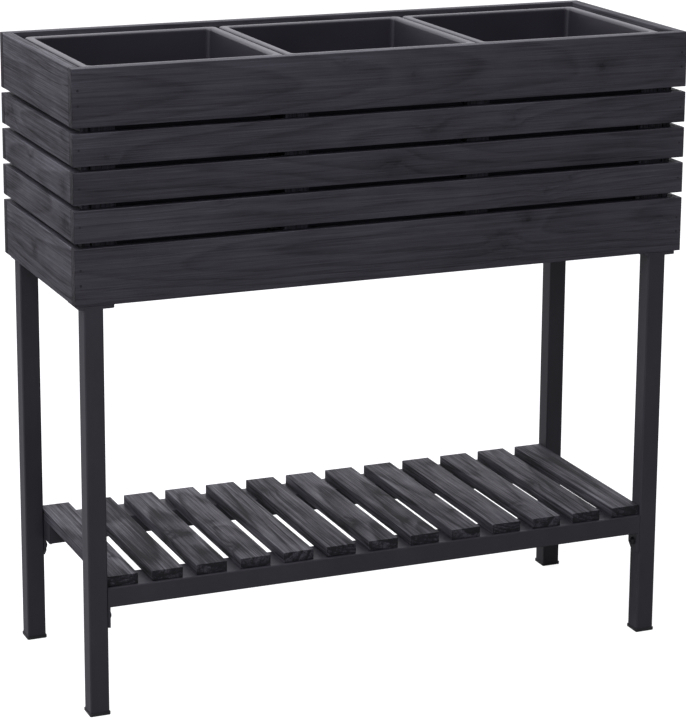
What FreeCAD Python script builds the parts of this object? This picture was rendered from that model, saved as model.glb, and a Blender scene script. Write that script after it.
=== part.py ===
import FreeCAD, Part
import math
import os
import Sketcher
from FreeCAD import Placement, Rotation, Vector

# Raised planter: a slatted wooden box with three drop-in pots, on four square steel
# legs that also carry a slatted shelf. Millimetres. X runs along the front, Y goes to
# the back and Z is up; the origin is the middle of the footprint, on the floor.

SIZES = {
    # the wooden box
    "box_length": 800,
    "box_depth": 300,
    "box_bottom": 510,
    "box_height": 280,
    "board_thickness": 13,
    "wide_board": 69,
    "narrow_board": 38.5,
    "arris": 1,
    "batten_width": 30,
    "batten_thickness": 10,
    "batten_drop": 20,
    "batten_spacing": 119,
    "end_batten_centre": 360,
    "bearer_width": 69,
    "bearer_height": 20,
    "bearer_lift": 41,
    # the pots
    "pot_pitch": 252,
    "pot_row_x": -6,
    "pot_front_gap": 1.5,
    "pot_rest_gap": 0.3,
    "rim_length": 248,
    "rim_depth": 241,
    "rim_drop": 1,
    "rim_width": 11,
    "rim_skirt": 8,
    "rim_corner": 6,
    "rim_edge": 2,
    "pot_wall": 2,
    "pot_draft": 1.2,
    "pot_corner": 10,
    "pot_foot_edge": 5,
    # the legs
    "leg_side": 24,
    "leg_wall": 1.5,
    "leg_corner": 2,
    "leg_inset_left": 10,
    "leg_inset_right": 21,
    "leg_inset_rear": 7,
    "plate_length": 44,
    "plate_depth": 50,
    "plate_thickness": 4,
    "plate_corner": 5,
    "plate_overhang": 5.5,
    "outer_hole_across": 35,
    "outer_hole_deep": 15,
    "left_hole_across": 13.5,
    "right_hole_across": 33,
    "inner_hole_deep": 34,
    "foot_side": 26,
    "foot_flange": 4,
    "foot_plug": 14,
    "foot_fit": 0.05,
    "foot_edge": 1.2,
    # the shelf
    "rail_depth": 50,
    "rail_height": 25,
    "rail_bottom": 136,
    "tab_thickness": 3,
    "tab_drop": 25,
    "tab_chamfer": 8,
    "bolt_lift": 12,
    "slat_count": 13,
    "slat_width": 39,
    "slat_thickness": 13,
    "slat_length": 284,
    "slat_front": 4,
    "first_slat": 34.5,
    "slat_pitch": 56.75,
    # nails, screws and bolts
    "nail_head_radius": 2.2,
    "nail_head_height": 0.8,
    "nail_shank_radius": 1.1,
    "nail_shank_length": 38,
    "nail_inset": 7,
    "nail_spread": 18,
    "screw_head_radius": 4,
    "screw_head_height": 2.4,
    "screw_shank_radius": 1.7,
    "screw_shank_length": 24,
    "screw_hole_radius": 2.3,
    "bolt_head_radius": 5,
    "bolt_head_height": 4,
    "bolt_shank_radius": 2.95,
    "bolt_shank_length": 16,
    "bolt_hole_radius": 3,
}

# Expressions that several sub-parts share
LEFT = "-Sizes.box_length / 2"
RIGHT = "Sizes.box_length / 2"
FRONT = "((Sizes.foot_side - Sizes.leg_side) / 2 - Sizes.box_depth) / 2"
REAR = f"({FRONT} + Sizes.box_depth)"
BOARD = "Sizes.board_thickness"
BATTEN = "Sizes.batten_thickness"
BOARD_GAP = "(Sizes.box_height - 2 * Sizes.wide_board - 3 * Sizes.narrow_board) / 4"
BEARER_BOTTOM = "(Sizes.box_bottom + Sizes.bearer_lift)"
POT_TOP = "(Sizes.box_bottom + Sizes.box_height - Sizes.rim_drop)"
POT_FLOOR = f"({BEARER_BOTTOM} + Sizes.bearer_height + Sizes.pot_rest_gap)"
POT_HEIGHT = f"({POT_TOP} - {POT_FLOOR})"
WALL_SETBACK = "(Sizes.rim_width - Sizes.pot_wall)"
LEG_LEFT = f"({LEFT} + Sizes.leg_inset_left)"
LEG_RIGHT = f"({RIGHT} - Sizes.leg_inset_right - Sizes.leg_side)"
LEG_FRONT = f"({FRONT})"
LEG_REAR = f"({REAR} - Sizes.leg_inset_rear - Sizes.leg_side)"
LEG_TOP = "(Sizes.box_bottom - Sizes.plate_thickness)"
LEG_BORE = "(Sizes.leg_side - 2 * Sizes.leg_wall)"
RAIL_SPAN = f"({LEG_RIGHT} - {LEG_LEFT} - Sizes.leg_side - 2 * Sizes.tab_thickness)"
RAIL_MIDDLE = f"(({LEG_LEFT} + {LEG_RIGHT} + Sizes.leg_side) / 2)"
BOLT_HEIGHT = "(Sizes.rail_bottom - Sizes.tab_drop + Sizes.bolt_lift)"

# For a piece that runs along an axis: its section's plane, the section's two axes, and
# whether the plane's normal points against the axis
SECTIONS = {
    "X": ("YZ_Plane", 1, 2, False),
    "Y": ("XZ_Plane", 0, 2, True),
    "Z": ("XY_Plane", 0, 1, False),
}
AXES = {"X": Vector(1, 0, 0), "Y": Vector(0, 1, 0), "Z": Vector(0, 0, 1)}
TOLERANCE = 0.001

doc = FreeCAD.newDocument("RaisedPlanter")
sheet = doc.addObject("Spreadsheet::Sheet", "Sizes")
for row, (alias, size) in enumerate(SIZES.items(), start=1):
    sheet.set(f"A{row}", alias)
    sheet.set(f"B{row}", str(size))
    sheet.setAlias(f"B{row}", alias)
doc.recompute()
sub_parts = []


def amount(expression):
    """The number that an expression over the sheet has now."""
    return float(sheet.evalExpression(expression))


def place(item, corner, rotation=Rotation()):
    """Puts an object's own origin at a corner given as three expressions."""
    item.Placement = Placement(Vector(0, 0, 0), rotation)
    for axis, expression in zip("xyz", corner):
        item.setExpression(f"Placement.Base.{axis}", expression)


def new_body(label):
    body = doc.addObject("PartDesign::Body", label)
    body.Label = label
    return body


def keep(item):
    """Marks an object as a sub-part that gets its own file."""
    sub_parts.append(item)
    return item


def sketch_on(body, role, name, lift=None):
    """A sketch on one of the body's origin planes, moved along the plane's normal."""
    sketch = body.newObject("Sketcher::SketchObject", name)
    planes = [item for item in body.Origin.OriginFeatures if item.Role == role]
    sketch.AttachmentSupport = [(planes[0], "")]
    sketch.MapMode = "FlatFace"
    if lift:
        sketch.setExpression("AttachmentOffset.Base.z", lift)
    return sketch


def rectangle(sketch, width, height, corner=("0", "0")):
    """A rectangle whose least corner is measured from the sketch's origin."""
    wide, high = amount(width), amount(height)
    across, up = (amount(expression) for expression in corner)
    outline(sketch, [Vector(across, up, 0), Vector(across + wide, up, 0),
                     Vector(across + wide, up + high, 0), Vector(across, up + high, 0)])
    dimension(sketch, "width", Sketcher.Constraint("DistanceX", 0, 1, 0, 2, wide), width)
    dimension(sketch, "height", Sketcher.Constraint("DistanceY", 1, 1, 1, 2, high), height)
    offset = Sketcher.Constraint("DistanceX", -1, 1, 0, 1, across)
    dimension(sketch, "across", offset, corner[0])
    offset = Sketcher.Constraint("DistanceY", -1, 1, 0, 1, up)
    dimension(sketch, "up", offset, corner[1])


def outline(sketch, corners):
    """A closed outline whose sides are level or upright, except those that slant."""
    count = len(corners)
    for start, end in zip(corners, corners[1:] + corners[:1]):
        sketch.addGeometry(Part.LineSegment(start, end))
    for side in range(count):
        start, end = corners[side], corners[(side + 1) % count]
        sketch.addConstraint(Sketcher.Constraint("Coincident", side, 2, (side + 1) % count, 1))
        if abs(start.y - end.y) < TOLERANCE:
            sketch.addConstraint(Sketcher.Constraint("Horizontal", side))
        elif abs(start.x - end.x) < TOLERANCE:
            sketch.addConstraint(Sketcher.Constraint("Vertical", side))


def rounded_rectangle(sketch, name, width, height, radius):
    """A rectangle around the sketch's origin with a round at each corner."""
    wide, high, bend = amount(width) / 2, amount(height) / 2, amount(radius)
    first = sketch.GeometryCount
    middles = [Vector(wide - bend, high - bend, 0), Vector(bend - wide, high - bend, 0),
               Vector(bend - wide, bend - high, 0), Vector(wide - bend, bend - high, 0)]
    for turn, middle in enumerate(middles):
        quarter = math.pi / 2
        ring = Part.Circle(middle, Vector(0, 0, 1), bend)
        arc = Part.ArcOfCircle(ring, turn * quarter, (turn + 1) * quarter)
        ahead = middles[(turn + 1) % 4]
        reach = Vector(math.cos((turn + 1) * quarter), math.sin((turn + 1) * quarter), 0) * bend
        sketch.addGeometry(arc)
        sketch.addGeometry(Part.LineSegment(middle + reach, ahead + reach))
    for turn in range(4):
        arc, side, after = first + 2 * turn, first + 2 * turn + 1, first + (2 * turn + 2) % 8
        sketch.addConstraint(Sketcher.Constraint("Tangent", arc, 2, side, 1))
        sketch.addConstraint(Sketcher.Constraint("Tangent", side, 2, after, 1))
        level = "Horizontal" if turn % 2 == 0 else "Vertical"
        sketch.addConstraint(Sketcher.Constraint(level, side))
        if turn:
            sketch.addConstraint(Sketcher.Constraint("Equal", first, arc))
    sketch.addConstraint(Sketcher.Constraint("Symmetric", first + 1, 1, first + 5, 1, -1, 1))
    size = Sketcher.Constraint("Radius", first, bend)
    dimension(sketch, f"{name}_radius", size, radius)
    size = Sketcher.Constraint("DistanceX", first + 3, 1, first + 7, 1, 2 * wide)
    dimension(sketch, f"{name}_width", size, width)
    size = Sketcher.Constraint("DistanceY", first + 5, 1, first + 1, 1, 2 * high)
    dimension(sketch, f"{name}_height", size, height)


def dimension(sketch, name, constraint, expression):
    """A named dimension that follows the sheet."""
    index = sketch.addConstraint(constraint)
    sketch.renameConstraint(index, name)
    sketch.setExpression(f"Constraints.{name}", expression)


def circle(sketch, name, radius, centre):
    """A circle whose centre is measured from the sketch's origin."""
    across, up = (amount(expression) for expression in centre)
    ring = Part.Circle(Vector(across, up, 0), Vector(0, 0, 1), amount(radius))
    index = sketch.addGeometry(ring)
    size = Sketcher.Constraint("Radius", index, amount(radius))
    dimension(sketch, f"{name}_radius", size, radius)
    offset = Sketcher.Constraint("DistanceX", -1, 1, index, 3, across)
    dimension(sketch, f"{name}_across", offset, centre[0])
    offset = Sketcher.Constraint("DistanceY", -1, 1, index, 3, up)
    dimension(sketch, f"{name}_up", offset, centre[1])


def pad(body, sketch, length, reverse=False, taper=None):
    feature = body.newObject("PartDesign::Pad", "Pad")
    feature.Profile = sketch
    feature.Reversed = reverse
    feature.setExpression("Length", length)
    if taper:
        feature.setExpression("TaperAngle", taper)
    doc.recompute()
    return feature


def pocket(body, sketch, length, reverse=False, taper=None):
    """A pocket that must take material away."""
    before = body.Shape.Volume
    feature = body.newObject("PartDesign::Pocket", "Pocket")
    feature.Profile = sketch
    feature.Reversed = reverse
    feature.setExpression("Length", length)
    if taper:
        feature.setExpression("TaperAngle", taper)
    doc.recompute()
    if body.Shape.Volume > before - TOLERANCE:
        raise RuntimeError(f"{body.Label}: a pocket cuts nothing")
    return feature


def fillet(body, radius, wanted):
    """Rounds the edges of the body's last feature that the test picks."""
    base = body.Tip
    names = [f"Edge{i}" for i, edge in enumerate(base.Shape.Edges, start=1) if wanted(edge)]
    feature = body.newObject("PartDesign::Fillet", "Fillet")
    feature.Base = (base, names)
    feature.setExpression("Radius", radius)
    doc.recompute()
    return feature


def runs_along(axis):
    """Picks straight edges that are parallel to an axis."""
    def test(edge):
        if not isinstance(edge.Curve, Part.Line):
            return False
        return abs(edge.tangentAt(edge.FirstParameter).dot(AXES[axis])) > 1 - TOLERANCE
    return test


def at_height(level):
    """Picks edges that lie in a level plane."""
    def test(edge):
        box = edge.BoundBox
        return abs(box.ZMin - level) < TOLERANCE and abs(box.ZMax - level) < TOLERANCE
    return test


def bar(label, along, size, arris=None):
    """A straight piece of rectangular section, with its long edges eased."""
    body = new_body(label)
    role, across, up, reverse = SECTIONS[along]
    sketch = sketch_on(body, role, "Section")
    rectangle(sketch, size[across], size[up])
    pad(body, sketch, size["XYZ".index(along)], reverse)
    if arris:
        fillet(body, arris, runs_along(along))
    return body


def group(label, master, spots):
    """One sub-part made of separate copies of a piece."""
    links = []
    for number, (corner, rotation) in enumerate(spots, start=1):
        link = doc.addObject("App::Link", f"{label}_copy_{number}")
        link.setLink(master)
        place(link, corner, rotation)
        links.append(link)
    compound = doc.addObject("Part::Compound", label)
    compound.Label = label
    compound.Links = links
    return keep(compound)


def board_rows():
    """The boards of one side from the bottom up: width and lower edge of each."""
    widths = ["Sizes.wide_board"] + 3 * ["Sizes.narrow_board"] + ["Sizes.wide_board"]
    level = "Sizes.box_bottom"
    rows = []
    for width in widths:
        rows.append((width, level))
        level = f"{level} + {width} + {BOARD_GAP}"
    return rows


def make_boards():
    """Front and rear boards run the whole length and cover the ends of the side boards."""
    side_length = f"Sizes.box_depth - 2 * {BOARD}"
    for number, (width, level) in enumerate(board_rows(), start=1):
        for side, back in (("front", FRONT), ("rear", f"{REAR} - {BOARD}")):
            size = ("Sizes.box_length", BOARD, width)
            board = bar(f"{side}_board_{number}", "X", size, "Sizes.arris")
            place(keep(board), (LEFT, back, level))
        for side, left in (("left", LEFT), ("right", f"{RIGHT} - {BOARD}")):
            size = (BOARD, side_length, width)
            board = bar(f"{side}_board_{number}", "Y", size, "Sizes.arris")
            place(keep(board), (left, f"{FRONT} + {BOARD}", level))


def make_battens():
    """Upright battens inside the boards, with their tops under the rims of the pots."""
    batten_height = "Sizes.box_height - Sizes.batten_drop"
    long_batten = bar("long_side_batten", "Z", ("Sizes.batten_width", BATTEN, batten_height))
    side_batten = bar("short_side_batten", "Z", (BATTEN, "Sizes.batten_width", batten_height))
    centres = ["-Sizes.end_batten_centre", "-Sizes.batten_spacing",
               "Sizes.batten_spacing", "Sizes.end_batten_centre"]
    faces = (("front_battens", f"{FRONT} + {BOARD}"),
             ("rear_battens", f"{REAR} - {BOARD} - {BATTEN}"))
    for label, face in faces:
        spots = [((f"{centre} - Sizes.batten_width / 2", face, "Sizes.box_bottom"), Rotation())
                 for centre in centres]
        group(label, long_batten, spots)
    spots = []
    for left in (f"{LEFT} + {BOARD}", f"{RIGHT} - {BOARD} - {BATTEN}"):
        for face in (f"{FRONT} + {BOARD}", f"{REAR} - {BOARD} - Sizes.batten_width"):
            spots.append(((left, face, "Sizes.box_bottom"), Rotation()))
    group("side_battens", side_batten, spots)


def make_bearers():
    """Four bearers cross the box from batten to batten and carry the pots."""
    length = f"Sizes.box_depth - 2 * {BOARD} - 2 * {BATTEN}"
    rows = (("bearer_left", "Sizes.batten_width", "-Sizes.end_batten_centre"),
            ("bearer_middle_left", "Sizes.bearer_width", "-Sizes.batten_spacing"),
            ("bearer_middle_right", "Sizes.bearer_width", "Sizes.batten_spacing"),
            ("bearer_right", "Sizes.batten_width", "Sizes.end_batten_centre"))
    for label, width, centre in rows:
        bearer = bar(label, "Y", (width, length, "Sizes.bearer_height"))
        place(keep(bearer), (f"{centre} - {width} / 2", f"{FRONT} + {BOARD} + {BATTEN}", BEARER_BOTTOM))


def make_pot(label, centre):
    """A square tapered pot that hangs below its rim; its origin is the middle of the rim's top."""
    body = new_body(label)
    outside = sketch_on(body, "XY_Plane", "Outside")
    rounded_rectangle(outside, "wall", f"Sizes.rim_length - 2 * {WALL_SETBACK}",
                      f"Sizes.rim_depth - 2 * {WALL_SETBACK}", "Sizes.pot_corner")
    pad(body, outside, POT_HEIGHT, reverse=True, taper="-Sizes.pot_draft")
    fillet(body, "Sizes.pot_foot_edge", at_height(-amount(POT_HEIGHT)))
    rim = sketch_on(body, "XY_Plane", "Rim")
    rounded_rectangle(rim, "rim", "Sizes.rim_length", "Sizes.rim_depth", "Sizes.rim_corner")
    pad(body, rim, "Sizes.pot_wall", reverse=True)
    skirt = sketch_on(body, "XY_Plane", "Skirt")
    rounded_rectangle(skirt, "outer", "Sizes.rim_length", "Sizes.rim_depth", "Sizes.rim_corner")
    rounded_rectangle(skirt, "inner", "Sizes.rim_length - 2 * Sizes.pot_wall",
                      "Sizes.rim_depth - 2 * Sizes.pot_wall", "Sizes.rim_corner - Sizes.pot_wall")
    pad(body, skirt, "Sizes.rim_skirt", reverse=True)
    inside = sketch_on(body, "XY_Plane", "Inside")
    rounded_rectangle(inside, "wall", "Sizes.rim_length - 2 * Sizes.rim_width",
                      "Sizes.rim_depth - 2 * Sizes.rim_width", "Sizes.pot_corner - Sizes.pot_wall")
    pocket(body, inside, f"{POT_HEIGHT} - Sizes.pot_wall", taper="-Sizes.pot_draft")
    fillet(body, "Sizes.rim_edge", at_height(0))
    floor = -amount(f"{POT_HEIGHT} - Sizes.pot_wall")
    fillet(body, "Sizes.pot_foot_edge - Sizes.pot_wall", at_height(floor))
    back = f"{FRONT} + {BOARD} + Sizes.pot_front_gap + Sizes.rim_depth / 2"
    place(keep(body), (centre, back, POT_TOP))


def make_pots():
    for number, label in enumerate(("pot_left", "pot_middle", "pot_right"), start=-1):
        make_pot(label, f"Sizes.pot_row_x + {number} * Sizes.pot_pitch")


def make_leg(label, corner, bolt_side):
    """A square tube, open at both ends, with a bolt hole through one wall."""
    body = new_body(label)
    section = sketch_on(body, "XY_Plane", "Section")
    rounded_rectangle(section, "outer", "Sizes.leg_side", "Sizes.leg_side", "Sizes.leg_corner")
    rounded_rectangle(section, "inner", LEG_BORE, LEG_BORE, "Sizes.leg_corner - Sizes.leg_wall")
    pad(body, section, f"{LEG_TOP} - Sizes.foot_flange")
    hole = sketch_on(body, "YZ_Plane", "BoltHole")
    circle(hole, "hole", "Sizes.bolt_hole_radius", ("0", f"{BOLT_HEIGHT} - Sizes.foot_flange"))
    pocket(body, hole, "Sizes.leg_side", reverse=(bolt_side > 0))
    middle = [f"{expression} + Sizes.leg_side / 2" for expression in corner]
    place(keep(body), (*middle, "Sizes.foot_flange"))


def make_foot(label, corner):
    """A plastic foot: a flange under the tube's end, and a plug that fills the tube above it."""
    body = new_body(label)
    flange = sketch_on(body, "XY_Plane", "Flange")
    rounded_rectangle(flange, "flange", "Sizes.foot_side", "Sizes.foot_side", "Sizes.leg_corner")
    pad(body, flange, "Sizes.foot_flange")
    fillet(body, "Sizes.foot_edge", at_height(0))
    plug = sketch_on(body, "XY_Plane", "Plug")
    bore = f"{LEG_BORE} - 2 * Sizes.foot_fit"
    rounded_rectangle(plug, "plug", bore, bore, "Sizes.leg_corner - Sizes.leg_wall")
    pad(body, plug, "Sizes.foot_flange + Sizes.foot_plug")
    middle = [f"{expression} + Sizes.leg_side / 2" for expression in corner]
    place(keep(body), (*middle, "0"))


def plate_corner(corner, end):
    """The least X and Y corner of the plate that sits on a leg."""
    left = f"{corner[0]} - Sizes.plate_overhang"
    if end == "front":
        return left, corner[1]
    return left, f"{corner[1]} + Sizes.leg_side - Sizes.plate_depth"


def plate_holes(side, end):
    """Where a plate is screwed to the battens, measured from its least X and Y corner."""
    holes = [("Sizes.outer_hole_across", "Sizes.outer_hole_deep"),
             (f"Sizes.{side}_hole_across", "Sizes.inner_hole_deep")]
    if end == "front":
        return holes
    return [(across, f"Sizes.plate_depth - {deep}") for across, deep in holes]


def make_plate(label, corner, side, end):
    body = new_body(label)
    blank = sketch_on(body, "XY_Plane", "Blank")
    rectangle(blank, "Sizes.plate_length", "Sizes.plate_depth")
    pad(body, blank, "Sizes.plate_thickness")
    fillet(body, "Sizes.plate_corner", runs_along("Z"))
    holes = sketch_on(body, "XY_Plane", "Holes")
    for number, centre in enumerate(plate_holes(side, end)):
        circle(holes, f"hole_{number}", "Sizes.screw_hole_radius", centre)
    pocket(body, holes, "Sizes.plate_thickness", reverse=True)
    place(keep(body), (*plate_corner(corner, end), LEG_TOP))


def fastener(label, kind):
    """A head with its face at +Z, and a shank that goes down from under it."""
    head = doc.addObject("Part::Cylinder", f"{kind}_head")
    head.setExpression("Radius", f"Sizes.{kind}_head_radius")
    head.setExpression("Height", f"Sizes.{kind}_head_height")
    shank = doc.addObject("Part::Cylinder", f"{kind}_shank")
    shank.setExpression("Radius", f"Sizes.{kind}_shank_radius")
    shank.setExpression("Height", f"Sizes.{kind}_shank_length")
    shank.setExpression("Placement.Base.z", f"-Sizes.{kind}_shank_length")
    whole = doc.addObject("Part::Fuse", label)
    whole.Base = head
    whole.Tool = shank
    return whole


def make_legs():
    """Four legs: those on the left and on the right sit at their own distance from the ends."""
    screw_spots = []
    bolt_spots = []
    upward = Rotation(AXES["Z"], -AXES["Z"])
    for side, left, bolt_side in (("left", LEG_LEFT, 1), ("right", LEG_RIGHT, -1)):
        for end, back in (("front", LEG_FRONT), ("rear", LEG_REAR)):
            corner = (left, back)
            make_leg(f"leg_{end}_{side}", corner, bolt_side)
            make_foot(f"foot_cap_{end}_{side}", corner)
            make_plate(f"leg_plate_{end}_{side}", corner, side, end)
            x, y = plate_corner(corner, end)
            for across, deep in plate_holes(side, end):
                screw_spots.append(((f"{x} + {across}", f"{y} + {deep}", LEG_TOP), upward))
            inner_face = f"{left} + Sizes.leg_side / 2 + {bolt_side} * Sizes.leg_side / 2"
            head_face = f"{inner_face} + {bolt_side} * Sizes.tab_thickness"
            turn = Rotation(AXES["Z"], bolt_side * AXES["X"])
            bolt_spots.append(((head_face, f"{back} + Sizes.leg_side / 2", BOLT_HEIGHT), turn))
    group("plate_screws", fastener("PlateScrew", "screw"), screw_spots)
    group("shelf_bolts", fastener("ShelfBolt", "bolt"), bolt_spots)


def make_rail(label, outer_face, rotation):
    """A shelf rail: a flat tube with a tab welded over each end, which hangs down to be bolted."""
    body = new_body(label)
    tube = sketch_on(body, "YZ_Plane", "Tube", lift=f"-{RAIL_SPAN} / 2")
    rectangle(tube, "Sizes.rail_depth", "Sizes.rail_height")
    pad(body, tube, RAIL_SPAN)
    fillet(body, "Sizes.leg_corner", runs_along("X"))
    bore = sketch_on(body, "YZ_Plane", "Bore", lift=f"-{RAIL_SPAN} / 2")
    rectangle(bore, "Sizes.rail_depth - 2 * Sizes.leg_wall",
              "Sizes.rail_height - 2 * Sizes.leg_wall", ("Sizes.leg_wall", "Sizes.leg_wall"))
    pocket(body, bore, RAIL_SPAN, reverse=True)
    tab = sketch_on(body, "YZ_Plane", "Tab", lift=f"{RAIL_SPAN} / 2")
    tab_outline(tab)
    welded = pad(body, tab, "Sizes.tab_thickness")
    hole = sketch_on(body, "YZ_Plane", "TabHole", lift=f"{RAIL_SPAN} / 2")
    circle(hole, "hole", "Sizes.bolt_hole_radius",
           ("Sizes.leg_side / 2", "Sizes.bolt_lift - Sizes.tab_drop"))
    drilled = pocket(body, hole, "Sizes.tab_thickness", reverse=True)
    other_end = body.newObject("PartDesign::Mirrored", "OtherEnd")
    other_end.Originals = [welded, drilled]
    planes = [item for item in body.Origin.OriginFeatures if item.Role == "YZ_Plane"]
    other_end.MirrorPlane = (planes[0], [""])
    body.Tip = other_end
    doc.recompute()
    place(keep(body), (RAIL_MIDDLE, outer_face, "Sizes.rail_bottom"), rotation)


def tab_outline(sketch):
    """The tab covers the tube's end and hangs below it, as wide as the leg, with one cut corner."""
    deep, high = amount("Sizes.rail_depth"), amount("Sizes.rail_height")
    leg, drop, cut = amount("Sizes.leg_side"), amount("Sizes.tab_drop"), amount("Sizes.tab_chamfer")
    corners = [Vector(0, high, 0), Vector(0, -drop, 0), Vector(leg - cut, -drop, 0),
               Vector(leg, cut - drop, 0), Vector(leg, 0, 0), Vector(deep, 0, 0),
               Vector(deep, high, 0)]
    outline(sketch, corners)
    sides = (("rail_height", "DistanceY", (-1, 1, 0, 1), high, "Sizes.rail_height"),
             ("tab_drop", "DistanceY", (1, 1, -1, 1), drop, "Sizes.tab_drop"),
             ("tab_foot", "DistanceX", (1, 1, 1, 2), leg - cut, "Sizes.leg_side - Sizes.tab_chamfer"),
             ("cut_across", "DistanceX", (2, 1, 2, 2), cut, "Sizes.tab_chamfer"),
             ("cut_up", "DistanceY", (2, 1, 2, 2), cut, "Sizes.tab_chamfer"),
             ("rail_depth", "DistanceX", (6, 2, 6, 1), deep, "Sizes.rail_depth"))
    sketch.addConstraint(Sketcher.Constraint("PointOnObject", 0, 1, -2))
    sketch.addConstraint(Sketcher.Constraint("PointOnObject", 4, 1, -1))
    for name, kind, ends, size, expression in sides:
        dimension(sketch, name, Sketcher.Constraint(kind, *ends, size), expression)


def make_shelf():
    make_rail("shelf_rail_front", LEG_FRONT, Rotation())
    half_turn = Rotation(AXES["Z"], 180)
    make_rail("shelf_rail_rear", f"{LEG_REAR} + Sizes.leg_side", half_turn)
    level = "Sizes.rail_bottom + Sizes.rail_height"
    for number in range(SIZES["slat_count"]):
        size = ("Sizes.slat_width", "Sizes.slat_length", "Sizes.slat_thickness")
        slat = bar(f"shelf_slat_{number + 1:02d}", "Y", size, "Sizes.arris")
        left = f"{LEFT} + Sizes.first_slat + {number} * Sizes.slat_pitch"
        place(keep(slat), (left, f"{FRONT} + Sizes.slat_front", level))


def make_nails():
    """Nails hold the front and rear boards to the ends of the side boards."""
    spots = []
    faces = ((f"{FRONT} + Sizes.nail_head_height", -AXES["Y"]),
             (f"{REAR} - Sizes.nail_head_height", AXES["Y"]))
    for width, level in board_rows():
        centre = f"{level} + {width} / 2"
        if width == "Sizes.wide_board":
            heights = [f"{centre} - Sizes.nail_spread / 2", f"{centre} + Sizes.nail_spread / 2"]
        else:
            heights = [centre]
        for end in (f"{LEFT} + Sizes.nail_inset", f"{RIGHT} - Sizes.nail_inset"):
            for face, outward in faces:
                for height in heights:
                    spots.append(((end, face, height), Rotation(AXES["Z"], outward)))
    group("board_nails", fastener("BoardNail", "nail"), spots)


def check_and_write():
    """Stops on a failed object or a bad shape, and then writes each sub-part's file."""
    doc.recompute()
    failed = [item.Label for item in doc.Objects if {"Invalid", "Error"} & set(item.State)]
    bad = [item.Label for item in sub_parts if item.Shape.isNull() or not item.Shape.isValid()]
    if failed or bad:
        raise RuntimeError(f"failed objects: {failed}; bad shapes: {bad}")
    os.makedirs("parts", exist_ok=True)
    for item in sub_parts:
        item.Shape.exportStep(f"parts/{item.Label}.step")
    print(f"{len(sub_parts)} sub-parts written")


make_boards()
make_battens()
make_bearers()
make_pots()
make_legs()
make_shelf()
make_nails()
check_and_write()
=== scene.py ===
import math
import random

import bmesh
import bpy
from mathutils import Matrix, Vector, noise


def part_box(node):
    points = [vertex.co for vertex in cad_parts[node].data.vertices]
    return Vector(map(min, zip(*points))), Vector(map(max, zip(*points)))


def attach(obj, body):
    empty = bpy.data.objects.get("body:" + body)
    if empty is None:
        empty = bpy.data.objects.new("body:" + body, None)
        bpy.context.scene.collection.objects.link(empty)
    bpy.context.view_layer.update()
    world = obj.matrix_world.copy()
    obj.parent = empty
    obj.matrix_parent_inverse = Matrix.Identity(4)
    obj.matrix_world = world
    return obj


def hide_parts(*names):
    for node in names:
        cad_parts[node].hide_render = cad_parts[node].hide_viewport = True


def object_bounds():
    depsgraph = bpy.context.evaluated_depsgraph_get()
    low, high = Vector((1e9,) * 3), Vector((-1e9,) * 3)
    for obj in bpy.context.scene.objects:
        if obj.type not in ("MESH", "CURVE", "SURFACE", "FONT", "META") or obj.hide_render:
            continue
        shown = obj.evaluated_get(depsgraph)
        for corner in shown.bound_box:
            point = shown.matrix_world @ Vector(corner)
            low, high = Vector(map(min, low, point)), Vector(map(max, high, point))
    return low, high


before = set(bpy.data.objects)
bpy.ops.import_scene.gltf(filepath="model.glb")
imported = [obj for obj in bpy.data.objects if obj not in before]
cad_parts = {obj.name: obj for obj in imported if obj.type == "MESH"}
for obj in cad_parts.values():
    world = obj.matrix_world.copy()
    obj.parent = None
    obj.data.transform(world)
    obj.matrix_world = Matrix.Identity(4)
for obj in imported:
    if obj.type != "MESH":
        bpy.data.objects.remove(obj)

# Raised planter: black stained boards, powder-coated steel legs and moulded pots.
# Metres, in the frame of the CAD model.

cad_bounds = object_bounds()
MM = 0.001
ROOT = "planter"
POT_BODIES = {"pot_left": "left_pot", "pot_middle": "middle_pot", "pot_right": "right_pot"}

# Where the knots of the boards that face the viewer are: how far along the board and
# across it, each from 0 to 1, and the knot's radius in millimetres
KNOTS = {
    "front_board_5": [(0.42, 0.86, 3), (0.53, 0.55, 5), (0.85, 0.45, 8)],
    "front_board_4": [(0.05, 0.25, 6), (0.565, 0.35, 7), (0.70, 0.5, 6)],
    "front_board_3": [(0.505, 0.5, 8)],
    "front_board_2": [(0.225, 0.95, 5), (0.76, 0.45, 8), (0.80, 0.8, 5)],
    "front_board_1": [(0.69, 0.45, 9), (0.73, 0.85, 6), (0.96, 0.6, 3)],
    "left_board_4": [(0.87, 0.5, 8)],
    "left_board_3": [(0.59, 0.7, 5), (0.09, 0.3, 6)],
    "left_board_2": [(0.08, 0.5, 5)],
    "left_board_1": [(0.56, 0.5, 5)],
}
KNOTS_PER_BOARD = 3
FAR_AWAY = 10.0
NO_KNOT = 0.01 * MM

# Each kind of timber, by a part of its nodes' names: the rounding of its edges in millimetres,
# and how strongly the grain shows through the stain
TIMBERS = {
    "front_board": (0.9, 0.46),
    "rear_board": (0.9, 0.46),
    "left_board": (1.0, 0.9),
    "right_board": (1.0, 0.9),
    "shelf_slat": (0.8, 1.2),
    "bearer": (0.8, 0.8),
    "battens": (0.8, 0.8),
}

# The noise that makes up the grain: its pace along the grain and across it, per metre, its
# detail and roughness, and how strongly it shows
GRAIN = {
    "fibre": (11.0, 620.0, 4.0, 0.65, 1.7),
    "streak": (3.5, 210.0, 4.0, 0.65, 1.1),
    "cloud": (7.0, 24.0, 4.0, 0.6, 1.0),
    "blotch": (22.0, 38.0, 5.0, 0.6, 0.45),
}
RING_WIDTH = 4.3 * MM
STAIN_DEEP = (0.0025, 0.0024, 0.0033, 1)
STAIN_THIN = (0.054, 0.052, 0.063, 1)
# The lighter stain of the rounded edges and eased ends: partly rubbed-through stain, partly a painted
# highlight
STAIN_WORN_AND_HIGHLIT = (0.075, 0.071, 0.084, 1)

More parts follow.
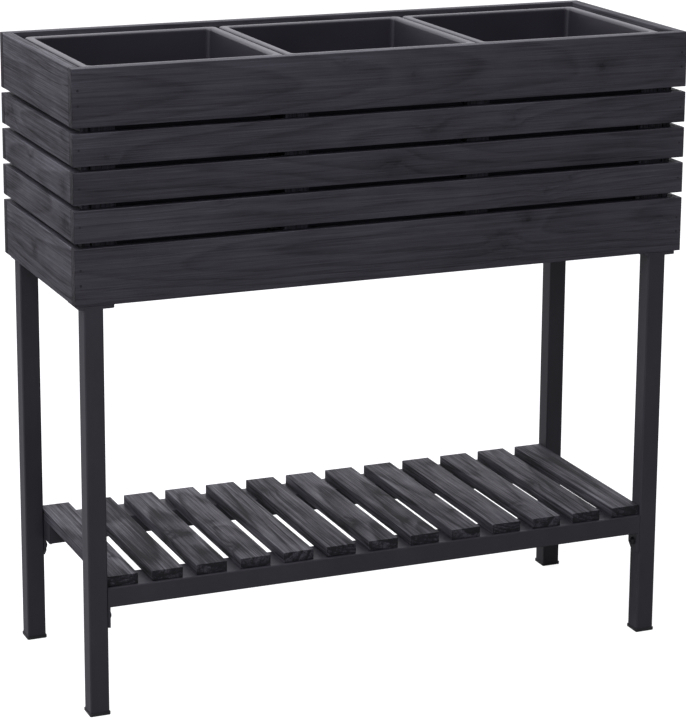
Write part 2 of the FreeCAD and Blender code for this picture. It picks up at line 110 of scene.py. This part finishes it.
# The signs of a rectangle's corners, anticlockwise
CORNERS = ((1, 1), (-1, 1), (-1, -1), (1, -1))

# The studio: how bright the surroundings are in front of the planter and behind it, which
# side is the bright one, how soon one fades into the other, and the colour of all the light
WORLD_DIM = 0.07
WORLD_BRIGHT = 1.25
BRIGHT_SIDE = Vector((-0.42, 0.86, 0.28)).normalized()
WORLD_FADE = 0.75
BACKDROP = 1.05
LIGHT_COLOR = (0.985, 0.97, 1.045)
WHITE = (1, 1, 1, 1)

# The soft boxes: place, size, power in watts, and whether reflections show them
SOFT_BOXES = {
    "key": ((-2.3, -0.9, 2.8), 2.0, 95, False),
    "top": ((-0.3, 0.4, 3.2), 3.0, 60, True),
    "front": ((-0.6, -3.8, 1.9), 2.2, 70, False),
}
SOFT_BOX_TARGET = Vector((0, 0, 0.5))

# The camera: where it stands, which way it looks, in degrees, and its lens in millimetres
CAMERA_PLACE = (-1.2743, -3.0333, 1.2935)
CAMERA_AZIMUTH = 22.76
CAMERA_ELEVATION = 13.41
CAMERA_ROLL = 0.34
CAMERA_LENS = 133.7
CAMERA_SHIFT_UP = -0.15


class Nodes:
    """A node tree under construction: each call adds a node and returns its output."""

    def __init__(self, tree):
        self.tree = tree

    def node(self, kind, values=(), output=0, **settings):
        made = self.tree.nodes.new(kind)
        for key, value in settings.items():
            setattr(made, key, value)
        for key, value in dict(values).items():
            self.feed(made.inputs[key], value)
        return made.outputs[output]

    def feed(self, socket, value):
        if isinstance(value, bpy.types.NodeSocket):
            self.tree.links.new(value, socket)
        else:
            socket.default_value = value

    def math(self, operation, *values):
        return self.node("ShaderNodeMath", enumerate(values), operation=operation)

    def vector(self, operation, *values):
        return self.node("ShaderNodeVectorMath", enumerate(values), operation=operation)

    def number(self, operation, *values):
        """Vector maths whose answer is one number."""
        return self.node("ShaderNodeVectorMath", enumerate(values), "Value", operation=operation)

    def noise(self, place, pace, detail, roughness=0.5, output="Fac"):
        """Noise that changes at its own pace, per metre, along each axis."""
        moved = self.vector("MULTIPLY", place, pace)
        inputs = {"Vector": moved, "Scale": 1.0, "Detail": detail, "Roughness": roughness}
        return self.node("ShaderNodeTexNoise", inputs, output)

    def ramp(self, factor, stops):
        """Straight lines from each (place, value) stop to the next, and level beyond the ends."""
        made = self.tree.nodes.new("ShaderNodeValToRGB")
        elements = made.color_ramp.elements
        while len(elements) < len(stops):
            elements.new(0.5)
        for element, (place, value) in zip(elements, stops):
            element.position = place
            element.color = (value, value, value, 1)
        self.feed(made.inputs[0], factor)
        return made.outputs[0]

    def mix(self, factor, first, second):
        """A blend of two colours, whose sockets go by number because others share their names."""
        made = self.tree.nodes.new("ShaderNodeMix")
        made.data_type = "RGBA"
        for index, value in ((0, factor), (6, first), (7, second)):
            self.feed(made.inputs[index], value)
        return made.outputs[2]


class Shader(Nodes):
    """A material made of nodes."""

    def __init__(self, name):
        self.material = bpy.data.materials.new(name)
        self.material.use_nodes = True
        super().__init__(self.material.node_tree)
        self.surface = self.tree.nodes["Principled BSDF"]

    def place(self):
        """Each point's place in its own piece's frame, in metres."""
        return self.node("ShaderNodeTexCoord", output="Object")

    def carried(self, name, output="Fac"):
        """A custom property of the piece: a number, or its "Vector"."""
        return self.node("ShaderNodeAttribute", output=output, attribute_type="OBJECT",
                         attribute_name=name)

    def bump(self, height, distance, strength=1.0):
        inputs = {"Height": height, "Distance": distance, "Strength": strength}
        self.feed(self.surface.inputs["Normal"], self.node("ShaderNodeBump", inputs))

    def finish(self, color, roughness, specular):
        self.feed(self.surface.inputs["Base Color"], color)
        self.feed(self.surface.inputs["Roughness"], roughness)
        self.surface.inputs["Specular IOR Level"].default_value = specular
        return self.material


def stained_wood():
    """Black stained pine: the rings of a log that each board is cut from, knots and fibres."""
    middle_tone = 0.48
    late_wood_darker = -0.32
    late_wood_darker_on_ends = -0.30
    ends_darker = -0.30
    knots_darker = -0.42
    wood = Shader("stained_wood")
    place = wood.place()
    moved = wood.vector("ADD", place, wood.carried("log", "Vector"))
    knots, rings = add_knots(wood, place, log_rings(wood, moved))
    ring = wood.math("FRACT", wood.math("DIVIDE", rings, RING_WIDTH))
    late_wood = wood.ramp(ring, [(0.0, 0.0), (0.55, 0.25), (0.86, 1.0), (1.0, 0.0)])
    ends = end_grain(wood)
    ring_depth = wood.math("MULTIPLY_ADD", ends, late_wood_darker_on_ends, late_wood_darker)
    figure = wood.math("MULTIPLY", late_wood, ring_depth)
    layers = {}
    for name, (along, across, detail, roughness, strength) in GRAIN.items():
        layers[name] = wood.noise(moved, (along, across, across), detail, roughness)
        centred = wood.math("SUBTRACT", layers[name], 0.5)
        figure = wood.math("MULTIPLY_ADD", centred, strength, figure)
    figure = wood.math("MULTIPLY_ADD", knots, knots_darker, figure)
    board_tone = wood.math("ADD", wood.carried("shade"), middle_tone)
    tone = wood.math("MULTIPLY_ADD", figure, wood.carried("depth"), board_tone)
    tone = wood.math("MULTIPLY_ADD", ends, ends_darker, tone)
    tone = wood.ramp(tone, [(0.0, 0.0), (1.0, 1.0)])
    stain = wood.mix(tone, STAIN_DEEP, STAIN_THIN)
    # The rounded edges and eased ends are mixed in streaks towards the lighter stain: partly worn
    # stain, partly a painted highlight along the edges
    edge_wear_and_highlight = wood.node("ShaderNodeAttribute", output="Fac", attribute_name="arris")
    edge_wear_and_highlight = wood.math("MULTIPLY", edge_wear_and_highlight, wood.ramp(layers["streak"], [(0.35, 0.05), (0.7, 0.35)]))
    relief = wood.math("MULTIPLY_ADD", late_wood, 0.5, layers["fibre"])
    relief = wood.math("MULTIPLY_ADD", knots, -0.5, relief)
    wood.bump(relief, 0.45 * MM, 0.9)
    roughness = wood.math("MULTIPLY_ADD", tone, -0.42, 0.84)
    return wood.finish(wood.mix(edge_wear_and_highlight, stain, STAIN_WORN_AND_HIGHLIT), roughness, 0.45)


def log_rings(wood, moved):
    """How far each point is from the pith of the log, which wanders and tapers slowly."""
    taper = 0.03
    sway = 30 * MM
    wander = wood.noise(moved, (2.2, 14.0, 14.0), 2.0, output="Color")
    wander = wood.vector("SUBTRACT", wander, (0.5, 0.5, 0.5))
    wander = wood.vector("MULTIPLY", wander, (0.0, sway, sway))
    from_pith = wood.vector("MULTIPLY", wood.vector("ADD", moved, wander), (taper, 1.0, 1.0))
    return wood.number("LENGTH", from_pith)


def end_grain(wood):
    """One on the faces that cut across the grain, nothing on the others."""
    along_grain = (1.0, 0.0, 0.0)
    facing = wood.node("ShaderNodeTexCoord", output="Normal")
    along = wood.number("DOT_PRODUCT", facing, along_grain)
    return wood.math("GREATER_THAN", wood.math("ABSOLUTE", along), 0.7)


def add_knots(wood, place, rings):
    """Rings swell round each knot of the board; returns how dark the knots are, and the rings."""
    flatten = (0.75, 1.0, 0.0)
    raggedness = 2.0
    swelling = 0.4
    halo_strength = 0.45
    dark = 0.0
    for number in range(KNOTS_PER_BOARD):
        knot = wood.carried(f"knot_{number}", "Vector")
        radius = wood.node("ShaderNodeSeparateXYZ", {"Vector": knot}, "Z")
        radius = wood.math("MAXIMUM", radius, NO_KNOT)
        apart = wood.vector("MULTIPLY", wood.vector("SUBTRACT", place, knot), flatten)
        ripple = wood.noise(place, (150.0, 210.0, 60.0), 3.0, 0.6)
        reach = wood.math("DIVIDE", wood.number("LENGTH", apart), radius)
        ragged = wood.math("MULTIPLY_ADD", ripple, raggedness, -raggedness / 2)
        reach = wood.math("ADD", reach, ragged)
        near = wood.math("EXPONENT", wood.math("MULTIPLY", wood.math("MULTIPLY", reach, reach), -0.2))
        rings = wood.math("MULTIPLY_ADD", wood.math("MULTIPLY", near, radius), swelling, rings)
        core = wood.ramp(reach, [(0.2, 1.0), (1.0, 0.0)])
        halo = wood.math("MULTIPLY", near, halo_strength)
        dark = wood.math("MAXIMUM", dark, wood.math("MAXIMUM", core, halo))
    return dark, rings


def powder_coat():
    """Satin black powder coat with a fine orange-peel texture."""
    paint = Shader("powder_coat")
    peel = paint.noise(paint.place(), (900.0, 900.0, 900.0), 2.0)
    handled = paint.noise(paint.place(), (22.0, 22.0, 9.0), 4.0, 0.6)
    color = paint.mix(handled, (0.011, 0.011, 0.013, 1), (0.025, 0.024, 0.029, 1))
    paint.bump(peel, 0.06 * MM, 0.7)
    roughness = paint.math("MULTIPLY_ADD", handled, 0.16, 0.40)
    return paint.finish(color, roughness, 0.45)


def moulded_plastic(name, shade, roughness):
    """Black moulded plastic: a fine grain and faint flow marks."""
    plastic = Shader(name)
    grain = plastic.noise(plastic.place(), (1500.0, 1500.0, 1500.0), 2.0, 0.6)
    flow = plastic.noise(plastic.place(), (9.0, 9.0, 16.0), 4.0, 0.55)
    dark = tuple(0.7 * part for part in shade) + (1,)
    light = tuple(1.35 * part for part in shade) + (1,)
    color = plastic.mix(flow, dark, light)
    plastic.bump(grain, 0.05 * MM, 0.6)
    rough = plastic.math("MULTIPLY_ADD", flow, 0.18, roughness)
    return plastic.finish(color, rough, 0.5)


def dark_steel():
    """Blackened steel fixings, with the black rubbed at the high spots."""
    steel = Shader("dark_steel")
    spots = steel.noise(steel.place(), (700.0, 700.0, 700.0), 3.0, 0.6)
    color = steel.mix(spots, (0.004, 0.004, 0.005, 1), (0.024, 0.023, 0.026, 1))
    steel.bump(spots, 0.05 * MM, 0.5)
    steel.surface.inputs["Metallic"].default_value = 0.4
    return steel.finish(color, 0.42, 0.5)


def islands(node):
    """The box of each separate solid in a CAD node."""
    mesh = bmesh.new()
    mesh.from_mesh(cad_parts[node].data)
    bmesh.ops.remove_doubles(mesh, verts=mesh.verts, dist=0.001 * MM)
    left = set(mesh.verts)
    boxes = []
    while left:
        island = {left.pop()}
        edge = list(island)
        while edge:
            vert = edge.pop()
            for link in vert.link_edges:
                other = link.other_vert(vert)
                if other in left:
                    left.remove(other)
                    island.add(other)
                    edge.append(other)
        low = Vector([min(vert.co[axis] for vert in island) for axis in range(3)])
        high = Vector([max(vert.co[axis] for vert in island) for axis in range(3)])
        boxes.append((low, high))
    mesh.free()
    return sorted(boxes, key=lambda pair: tuple(round(value, 4) for value in pair[0]))


def new_object(name, mesh, material, body=ROOT, matrix=None):
    """Adds a piece that rides on a body."""
    sharp = math.radians(38)
    data = bpy.data.meshes.new(name)
    mesh.to_mesh(data)
    mesh.free()
    piece = bpy.data.objects.new(name, data)
    bpy.context.scene.collection.objects.link(piece)
    piece.data.materials.append(material)
    if matrix:
        piece.matrix_world = matrix
    data.shade_smooth()
    data.set_sharp_from_angle(angle=sharp)
    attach(piece, body)
    return piece


def grain_frame(low, high):
    """A frame at the box's middle: X along the grain, Y across the face, Z through it."""
    size = high - low
    order = sorted(range(3), key=lambda axis: -size[axis])
    columns = [Vector([float(row == axis) for row in range(3)]) for axis in order]
    columns[2] = columns[0].cross(columns[1])
    turn = Matrix(columns).transposed().to_4x4()
    return Matrix.Translation((low + high) / 2) @ turn


def quarter_turn(steps):
    """Evenly spaced angles from nothing to a right angle."""
    return [math.radians(90) * step / steps for step in range(steps + 1)]


def bridge(mesh, rings):
    """Faces between each ring and the next."""
    for ring, following in zip(rings, rings[1:]):
        for i, vert in enumerate(ring):
            j = (i + 1) % len(ring)
            mesh.faces.new((vert, ring[j], following[j], following[i]))


def saw_stations(low, high):
    """Places along a board, each with how far its section is drawn in to ease the ends."""
    gap = 12 * MM
    ease = 0.5 * MM
    length = high.x - low.x
    count = max(2, round(length / gap))
    between = [(low.x + length * i / count, 0.0) for i in range(1, count)]
    return [(low.x, ease), (low.x + ease, 0.0), *between, (high.x - ease, 0.0), (high.x, ease)]


def saw_section(x, inset, low, high, arris, seeds):
    """The outline of a board at one place along it, as (y, z, wear and painted highlight) points.

    Each corner has a seed, by which its rounding and its place wander along the board.
    """
    rounding_pace = 18
    rounding_change = 0.4
    dip_pace = 6
    dip = 0.03 * MM
    # How much the eased ends are lightened: worn stain and a painted highlight
    end_wear_and_highlight = 0.2
    middle = (low + high) / 2
    outline = []
    for seed, (side_y, side_z) in zip(seeds, CORNERS):
        radius = arris * (1 + rounding_change * noise.noise(Vector((x * rounding_pace, seed, 0))))
        back = dip * (1 + noise.noise(Vector((x * dip_pace, 0, seed)))) + inset
        half_y = (high.y - low.y) / 2 - back
        half_z = (high.z - low.z) / 2 - back
        for angle in quarter_turn(4):
            across, up = (math.cos(angle), math.sin(angle))
            if side_y * side_z < 0:
                across, up = up, across
            y = middle.y + side_y * (half_y - radius * (1 - across))
            z = middle.z + side_z * (half_z - radius * (1 - up))
            # The third number lightens the edge most at the middle of each rounding: worn stain and a
            # painted highlight
            outline.append((y, z, math.sin(2 * angle) if inset == 0 else end_wear_and_highlight))
    return outline


def saw_timber(mesh, low, high, arris, rng):
    """A board between two corners in the grain's frame: eased edges that wander a little."""
    # The "arris" layer carries how much each edge is lightened, for wear and a painted highlight
    edge_wear_and_highlight = mesh.verts.layers.float.get("arris") or mesh.verts.layers.float.new("arris")
    seeds = [rng.uniform(0, 50) for _ in CORNERS]
    rings = []
    for x, inset in saw_stations(low, high):
        ring = []
        for y, z, wear_and_highlight in saw_section(x, inset, low, high, arris, seeds):
            vert = mesh.verts.new((x, y, z))
            vert[edge_wear_and_highlight] = wear_and_highlight
            ring.append(vert)
        rings.append(ring)
    bridge(mesh, rings)
    mesh.faces.new(list(reversed(rings[0])))
    mesh.faces.new(rings[-1])


def timber(node, boxes, arris, depth):
    """The wood of one CAD node, a piece in each box, cut from its own place in a log."""
    name = f"{node}_wood"
    rng = random.Random(name)
    matrix = grain_frame(*boxes[0])
    inverse = matrix.inverted()
    mesh = bmesh.new()
    for low, high in boxes:
        ends = [inverse @ low, inverse @ high]
        least = Vector([min(end[axis] for end in ends) for axis in range(3)])
        most = Vector([max(end[axis] for end in ends) for axis in range(3)])
        saw_timber(mesh, least, most, arris, rng)
    bmesh.ops.recalc_face_normals(mesh, faces=mesh.faces)
    piece = new_object(name, mesh, materials["wood"], matrix=matrix)
    from_pith = rng.uniform(18, 60) * MM
    piece["shade"] = rng.uniform(-0.1, 0.1) * depth
    piece["depth"] = depth
    piece["log"] = (rng.uniform(-5, 5), rng.uniform(-25, 25) * MM, from_pith)
    size = [abs(value) for value in (inverse.to_3x3() @ (boxes[0][1] - boxes[0][0]))]
    for number, knot in enumerate(choose_knots(node, matrix, size, rng)):
        piece[f"knot_{number}"] = knot
    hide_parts(node)


def choose_knots(node, matrix, size, rng):
    """The places of a board's knots in its own frame, with the radius as the third number."""
    known = KNOTS.get(node)
    if known is None:
        amount = rng.choice((0, 1, 1, 2))
        known = [(rng.uniform(0.05, 0.95), rng.uniform(0.1, 0.9), rng.uniform(3, 7))
                 for _ in range(amount)]
    flip_x = 1 if sum(matrix.col[0][:3]) > 0 else -1
    flip_y = 1 if sum(matrix.col[1][:3]) > 0 else -1
    knots = [((along - 0.5) * size[0] * flip_x, (across - 0.5) * size[1] * flip_y, radius * MM)
             for along, across, radius in known]
    while len(knots) < KNOTS_PER_BOARD:
        knots.append((FAR_AWAY, FAR_AWAY, NO_KNOT))
    return knots


def make_timbers():
    """Boards, slats, bearers and battens; the battens of one node are separate solids."""
    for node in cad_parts:
        for kind, (arris, depth) in TIMBERS.items():
            if kind in node:
                boxes = islands(node) if kind == "battens" else [tuple(map(Vector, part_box(node)))]
                timber(node, boxes, arris * MM, depth)


def rounded_loop(mesh, middle, half_x, half_y, radius, level):
    """A ring of vertices round a rounded rectangle."""
    ring = []
    for quarter, (side_x, side_y) in enumerate(CORNERS):
        for turn in quarter_turn(6):
            angle = turn + quarter * math.radians(90)
            x = middle.x + side_x * (half_x - radius) + radius * math.cos(angle)
            y = middle.y + side_y * (half_y - radius) + radius * math.sin(angle)
            ring.append(mesh.verts.new((x, y, level)))
    return ring


def make_pot(node):
    """A moulded pot: skirt, crowned rim, drafted walls and a rounded foot, 2 mm thick."""
    low, high = map(Vector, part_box(node))
    middle = (low + high) / 2
    half_x, half_y = (high.x - low.x) / 2, (high.y - low.y) / 2
    top, foot = high.z, low.z
    wall = 2 * MM
    rim = 11 * MM
    skirt = 8 * MM
    draft = math.tan(math.radians(1.2))
    depth = top - foot
    edge_width, edge_drop = 2.0 * MM, 1.94 * MM
    lip_width, lip_drop = 3.6 * MM, 3.7 * MM
    # each ring: how far in from the rim's edge, how far below its top, and the corner's radius
    outer_edge = [(edge_width * (1 - math.cos(turn)), 2.0 * MM - edge_drop * math.sin(turn), 6.0 * MM)
                  for turn in quarter_turn(3)]
    inner_edge = [(rim - lip_width * (1 - math.sin(turn)), 3.8 * MM - lip_drop * math.cos(turn),
                   (7.0 - math.sin(turn)) * MM) for turn in quarter_turn(4)]
    profile = [(rim - wall + draft * depth + 5.0 * MM, depth, 3.0 * MM),
               (rim - wall + draft * depth + 1.5 * MM, depth - 1.5 * MM, 5.0 * MM),
               (rim - wall + draft * depth, depth - 5.0 * MM, 6.0 * MM),
               (rim - wall + draft * skirt, skirt, 9.5 * MM),
               (rim - wall, wall + 0.6 * MM, 10.0 * MM),
               (rim - wall - 0.6 * MM, wall, 10.0 * MM),
               (wall + 0.6 * MM, wall, 4.5 * MM),
               (wall, wall + 0.6 * MM, 4.5 * MM),
               (wall, skirt, 4.5 * MM),
               (0.0, skirt, 6.0 * MM),
               *outer_edge,
               (rim / 2, 0.0, 7.0 * MM),
               *inner_edge,
               (rim + draft * (depth - 5 * MM), depth - 5.0 * MM, 5.0 * MM),
               (rim + draft * depth + 0.9 * MM, depth - 2.9 * MM, 4.0 * MM),
               (rim + draft * depth + 3.0 * MM, depth - 2.0 * MM, 3.0 * MM)]
    mesh = bmesh.new()
    rings = [rounded_loop(mesh, middle, half_x - inset, half_y - inset, radius, top - drop)
             for inset, drop, radius in profile]
    bridge(mesh, rings)
    mesh.faces.new(rings[0])
    mesh.faces.new(rings[-1])
    bmesh.ops.recalc_face_normals(mesh, faces=mesh.faces)
    pot = new_object(f"{node}_moulded", mesh, materials["pot"], POT_BODIES[node])
    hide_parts(node)


def turned(mesh, matrix, profile, steps):
    """A solid of revolution about local Z, from (radius, height) pairs that end on the axis."""
    rings = []
    for radius, height in profile:
        if radius == 0:
            rings.append([mesh.verts.new(matrix @ Vector((0, 0, height)))])
            continue
        angles = [math.tau * step / steps for step in range(steps)]
        circle = [(radius * math.cos(angle), radius * math.sin(angle)) for angle in angles]
        rings.append([mesh.verts.new(matrix @ Vector((x, y, height))) for x, y in circle])
    for ring, following in zip(rings, rings[1:]):
        for i, vert in enumerate(ring):
            j = (i + 1) % len(ring)
            if len(following) == 1:
                mesh.faces.new((vert, ring[j], following[0]))
            else:
                mesh.faces.new((vert, ring[j], following[j], following[i]))


def make_nails():
    """Slightly domed nail heads, with the middle level with the CAD model's nails."""
    sunk = 1.2 * MM
    mesh = bmesh.new()
    for low, high in islands("board_nails"):
        outward = Vector((0, -1, 0)) if low.y < 0 else Vector((0, 1, 0))
        face = low.y if low.y < 0 else high.y
        middle = (low + high) / 2
        radius = (high.x - low.x) / 2
        turn = outward.to_track_quat("Z", "X").to_matrix().to_4x4()
        matrix = Matrix.Translation((middle.x, face, middle.z)) @ turn
        profile = [(radius, -sunk), (radius, -0.14 * MM), (0.8 * radius, -0.05 * MM),
                   (0.45 * radius, -0.01 * MM), (0, 0)]
        turned(mesh, matrix, profile, 16)
    bmesh.ops.recalc_face_normals(mesh, faces=mesh.faces)
    piece = new_object("nail_heads", mesh, materials["steel"])
    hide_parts("board_nails")


def make_bolts():
    """Button-head bolts with a socket, through the rails' tabs into the legs."""
    rise = 4.0 * MM
    reach = 12 * MM
    mesh = bmesh.new()
    for low, high in islands("shelf_bolts"):
        middle = (low + high) / 2
        inward = -1 if middle.x > 0 else 1
        head = high.x if inward > 0 else low.x
        radius = (high.z - low.z) / 2
        turn = Vector((inward, 0, 0)).to_track_quat("Z", "X").to_matrix().to_4x4()
        matrix = Matrix.Translation((head, middle.y, middle.z)) @ turn
        profile = [(0.55 * radius, -reach), (0.55 * radius, -rise), (radius, -rise),
                   (radius, -0.75 * rise), (0.93 * radius, -0.45 * rise),
                   (0.74 * radius, -0.12 * rise), (0.5 * radius, 0), (0.34 * radius, 0),
                   (0.31 * radius, -0.6 * rise), (0, -0.6 * rise)]
        turned(mesh, matrix, profile, 24)
    bmesh.ops.recalc_face_normals(mesh, faces=mesh.faces)
    piece = new_object("button_head_bolts", mesh, materials["steel"])
    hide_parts("shelf_bolts")


def dress_cad_nodes():
    """Steel, feet and screws keep their CAD shape and get their finish here."""
    kinds = {"leg_": "paint", "shelf_rail": "paint", "foot_cap": "foot", "plate_screws": "steel"}
    for node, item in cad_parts.items():
        for prefix, material in kinds.items():
            if node.startswith(prefix):
                for slot in item.material_slots:
                    slot.material = materials[material]


def make_floor():
    """A pale floor that bounces little light and that the camera sees as white."""
    size = 30.0
    glow = 0.9
    mesh = bmesh.new()
    bmesh.ops.create_grid(mesh, x_segments=1, y_segments=1, size=size)
    data = bpy.data.meshes.new("floor")
    mesh.to_mesh(data)
    mesh.free()
    floor = bpy.data.objects.new("floor", data)
    bpy.context.scene.collection.objects.link(floor)
    floor.location.z = cad_bounds[0][2]
    pale = Shader("pale_floor")
    mottle = pale.noise(pale.place(), (3.0, 3.0, 3.0), 2.0)
    color = pale.mix(mottle, (0.22, 0.22, 0.223, 1), (0.24, 0.24, 0.243, 1))
    seen = pale.node("ShaderNodeLightPath")
    pale.surface.inputs["Emission Color"].default_value = WHITE
    pale.feed(pale.surface.inputs["Emission Strength"], pale.math("MULTIPLY", seen, glow))
    data.materials.append(pale.finish(color, 0.9, 0.1))


def make_world():
    """Bright surroundings behind and to the left, dim ones in front; the camera sees white."""
    world = bpy.data.worlds.new("studio")
    bpy.context.scene.world = world
    world.use_nodes = True
    sky = Nodes(world.node_tree)
    facing = sky.number("DOT_PRODUCT", sky.node("ShaderNodeTexCoord"), BRIGHT_SIDE)
    inputs = {"Value": facing, "From Min": -WORLD_FADE, "From Max": WORLD_FADE,
              "To Min": WORLD_DIM, "To Max": WORLD_BRIGHT}
    spread = sky.node("ShaderNodeMapRange", inputs, interpolation_type="SMOOTHSTEP")
    seen = sky.node("ShaderNodeLightPath")
    strength = sky.node("ShaderNodeMix", {"Factor": seen, "A": spread, "B": BACKDROP})
    background = world.node_tree.nodes["Background"]
    sky.feed(background.inputs["Color"], sky.mix(seen, (*LIGHT_COLOR, 1), WHITE))
    sky.feed(background.inputs["Strength"], strength)


def make_soft_box(name, place, size, power, reflected):
    light = bpy.data.lights.new(name, "AREA")
    light.shape = "SQUARE"
    light.size = size
    light.energy = power
    light.color = LIGHT_COLOR
    item = bpy.data.objects.new(name, light)
    bpy.context.scene.collection.objects.link(item)
    item.location = place
    item.rotation_euler = (SOFT_BOX_TARGET - Vector(place)).to_track_quat("-Z", "Y").to_euler()
    item.visible_glossy = reflected


def make_camera():
    """The viewer stands to the left of the front and looks slightly down, through a long lens."""
    azimuth = math.radians(CAMERA_AZIMUTH)
    elevation = math.radians(CAMERA_ELEVATION)
    roll = math.radians(CAMERA_ROLL)
    ahead = Vector((math.sin(azimuth) * math.cos(elevation), math.cos(azimuth) * math.cos(elevation),
                    -math.sin(elevation)))
    level = Vector((math.cos(azimuth), -math.sin(azimuth), 0))
    up = level.cross(ahead)
    right = level * math.cos(roll) + up * math.sin(roll)
    above = up * math.cos(roll) - level * math.sin(roll)
    lens = bpy.data.cameras.new("camera")
    lens.sensor_width = 36
    lens.lens = CAMERA_LENS
    lens.shift_y = CAMERA_SHIFT_UP
    lens.clip_end = 100
    camera = bpy.data.objects.new("camera", lens)
    bpy.context.scene.collection.objects.link(camera)
    turn = Matrix((right, above, -ahead)).transposed().to_4x4()
    camera.matrix_world = Matrix.Translation(CAMERA_PLACE) @ turn
    bpy.context.scene.camera = camera


materials = {
    "wood": stained_wood(),
    "paint": powder_coat(),
    "pot": moulded_plastic("pot_plastic", (0.0125, 0.0118, 0.0155), 0.27),
    "foot": moulded_plastic("foot_plastic", (0.012, 0.012, 0.013), 0.45),
    "steel": dark_steel(),
}
bpy.context.scene.view_settings.view_transform = "Standard"
make_camera()
make_world()
for box_name, (box_place, box_size, box_power, box_reflected) in SOFT_BOXES.items():
    make_soft_box(box_name, box_place, box_size, box_power, box_reflected)
make_floor()
make_timbers()
for pot_node in POT_BODIES:
    make_pot(pot_node)
make_nails()
make_bolts()
dress_cad_nodes()
bpy.context.view_layer.update()
